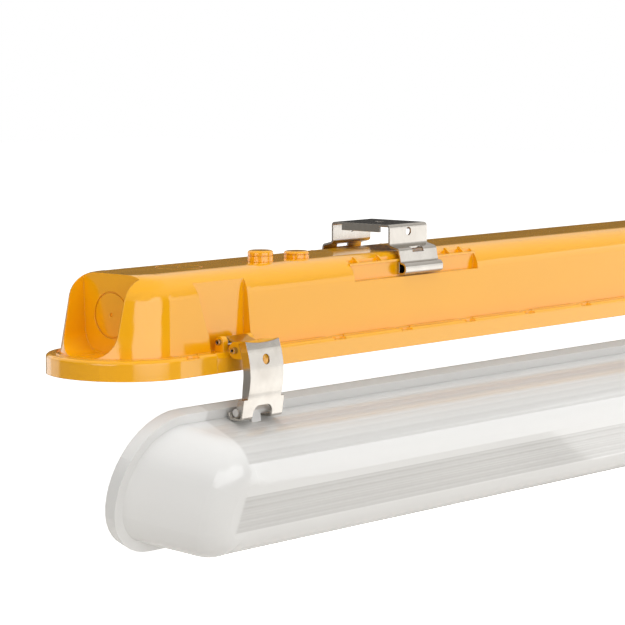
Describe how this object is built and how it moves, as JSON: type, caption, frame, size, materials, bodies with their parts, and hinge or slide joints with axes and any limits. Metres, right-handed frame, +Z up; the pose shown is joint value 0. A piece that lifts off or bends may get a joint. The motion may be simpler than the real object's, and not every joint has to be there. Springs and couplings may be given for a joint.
{
  "type": "vapor tight light fixture",
  "caption": "Long sealed ceiling light fixture: yellow moulded body on steel ceiling brackets, clear diffuser hanging open from hinged steel clips.",
  "frame": {"origin": "centre of the line between the two ceiling fixing holes, on the brackets' top faces", "axes": "+X along the fixture, away from the end with the roof caps; +Y toward the back, away from the side the diffuser hangs on; +Z up into the ceiling"},
  "size_m": [1.27, 0.1336, 0.1782],
  "materials": {
    "body": "yellow-orange moulded plastic, semi-gloss",
    "cap": "yellow moulded plastic",
    "clip_yellow": "yellow moulded plastic",
    "steel": "bright stainless spring steel",
    "pin_steel": "rolled stainless steel",
    "diffuser": "clear prismatic plastic",
    "gasket": "closed foam",
    "tray": "white enamel",
    "screw": "zinc plated",
    "board": "white solder mask",
    "chip": "phosphor",
    "white_plastic": "white moulded plastic",
    "driver": "light grey moulded plastic",
    "grommet": "black rubber",
    "tin": "tinned copper",
    "brass": "brass",
    "brown": "brown insulation",
    "blue": "blue insulation",
    "green": "green and yellow insulation",
    "red": "red insulation",
    "black": "black insulation"
  },
  "bodies": {
    "housing": {"housing": "body", "gasket": "gasket", "cap_tall": "cap", "cap_low": "cap", "hinge_pins": "pin_steel", "gear_tray": "tray", "tray_screws": "screw", "led_boards": "board", "led_chips": "chip", "board_connector": "white_plastic", "grommet": "grommet", "led_driver": "driver", "driver_screws": "screw", "terminal_block": "white_plastic", "terminal_screws": "brass", "lead_live": "brown", "lead_neutral": "blue", "lead_earth": "green", "earth_tag": "tin", "earth_screw": "screw", "lead_led_minus": "black", "lead_led_plus": "red"},
    "link_front_middle": {"link_front_middle": "steel", "clip_pin_front_middle": "pin_steel"},
    "clip_front_middle": {"clip_plate_front_middle": "steel", "clip_block_front_middle": "clip_yellow"},
    "link_front_left": {"link_front_left": "steel", "clip_pin_front_left": "pin_steel"},
    "clip_front_left": {"clip_plate_front_left": "steel", "clip_block_front_left": "clip_yellow"},
    "link_front_right": {"link_front_right": "steel", "clip_pin_front_right": "pin_steel"},
    "clip_front_right": {"clip_plate_front_right": "steel", "clip_block_front_right": "clip_yellow"},
    "diffuser": {"diffuser": "diffuser"},
    "link_rear_left": {"link_rear_left": "steel", "clip_pin_rear_left": "pin_steel"},
    "clip_rear_left": {"clip_plate_rear_left": "steel", "clip_block_rear_left": "clip_yellow"},
    "link_rear_middle": {"link_rear_middle": "steel", "clip_pin_rear_middle": "pin_steel"},
    "clip_rear_middle": {"clip_plate_rear_middle": "steel", "clip_block_rear_middle": "clip_yellow"},
    "link_rear_right": {"link_rear_right": "steel", "clip_pin_rear_right": "pin_steel"},
    "clip_rear_right": {"clip_plate_rear_right": "steel", "clip_block_rear_right": "clip_yellow"},
    "bracket_left": {"bracket_left": "steel"},
    "bracket_right": {"bracket_right": "steel"}
  },
  "joints": [
    {"name": "link_front_middle", "type": "hinge", "parent": "housing", "child": "link_front_middle", "pos_m": [0, -0.0395, -0.057], "axis": [-1, 0, 0], "range_deg": [0, 123.7]},
    {"name": "clip_front_middle", "type": "hinge", "parent": "link_front_middle", "child": "clip_front_middle", "pos_m": [0, -0.051, -0.061], "axis": [1, 0, 0], "range_deg": [0, 118.69]},
    {"name": "link_front_left", "type": "hinge", "parent": "housing", "child": "link_front_left", "pos_m": [-0.541, -0.0395, -0.057], "axis": [-1, 0, 0], "range_deg": [0, 123.7]},
    {"name": "clip_front_left", "type": "hinge", "parent": "link_front_left", "child": "clip_front_left", "pos_m": [-0.541, -0.051, -0.061], "axis": [1, 0, 0], "range_deg": [0, 118.69]},
    {"name": "link_front_right", "type": "hinge", "parent": "housing", "child": "link_front_right", "pos_m": [0.541, -0.0395, -0.057], "axis": [-1, 0, 0], "range_deg": [0, 123.7]},
    {"name": "clip_front_right", "type": "hinge", "parent": "link_front_right", "child": "clip_front_right", "pos_m": [0.541, -0.051, -0.061], "axis": [1, 0, 0], "range_deg": [0, 118.69]},
    {"name": "diffuser_hang", "type": "hinge", "parent": "clip_front_middle", "child": "diffuser", "pos_m": [0, -0.05355, -0.09665], "axis": [1, 0, 0], "range_deg": [0, 75.2]},
    {"name": "link_rear_left", "type": "hinge", "parent": "housing", "child": "link_rear_left", "pos_m": [-0.541, 0.0395, -0.057], "axis": [-1, 0, 0], "range_deg": [0, 123.7]},
    {"name": "clip_rear_left", "type": "hinge", "parent": "link_rear_left", "child": "clip_rear_left", "pos_m": [-0.541, 0.03645, -0.04521], "axis": [1, 0, 0], "range_deg": [0, 118.69]},
    {"name": "link_rear_middle", "type": "hinge", "parent": "housing", "child": "link_rear_middle", "pos_m": [0, 0.0395, -0.057], "axis": [-1, 0, 0], "range_deg": [0, 123.7]},
    {"name": "clip_rear_middle", "type": "hinge", "parent": "link_rear_middle", "child": "clip_rear_middle", "pos_m": [0, 0.03645, -0.04521], "axis": [1, 0, 0], "range_deg": [0, 118.69]},
    {"name": "link_rear_right", "type": "hinge", "parent": "housing", "child": "link_rear_right", "pos_m": [0.541, 0.0395, -0.057], "axis": [-1, 0, 0], "range_deg": [0, 123.7]},
    {"name": "clip_rear_right", "type": "hinge", "parent": "link_rear_right", "child": "clip_rear_right", "pos_m": [0.541, 0.03645, -0.04521], "axis": [1, 0, 0], "range_deg": [0, 118.69]},
    {"name": "bracket_slide_left", "type": "slide", "parent": "housing", "child": "bracket_left", "axis": [1, 0, 0], "range_m": [-0.04605, 0.04005]},
    {"name": "bracket_slide_right", "type": "slide", "parent": "housing", "child": "bracket_right", "axis": [1, 0, 0], "range_m": [-0.04005, 0.04605]}
  ],
  "couplings": [
    {"joint": "clip_front_middle", "follows": "link_front_middle", "ratio": 0.95955},
    {"joint": "link_front_left", "follows": "link_front_middle", "ratio": 1},
    {"joint": "clip_front_left", "follows": "link_front_middle", "ratio": 0.95955},
    {"joint": "link_front_right", "follows": "link_front_middle", "ratio": 1},
    {"joint": "clip_front_right", "follows": "link_front_middle", "ratio": 0.95955},
    {"joint": "clip_rear_left", "follows": "link_rear_left", "ratio": 0.95955},
    {"joint": "clip_rear_middle", "follows": "link_rear_middle", "ratio": 0.95955},
    {"joint": "clip_rear_right", "follows": "link_rear_right", "ratio": 0.95955}
  ]
}
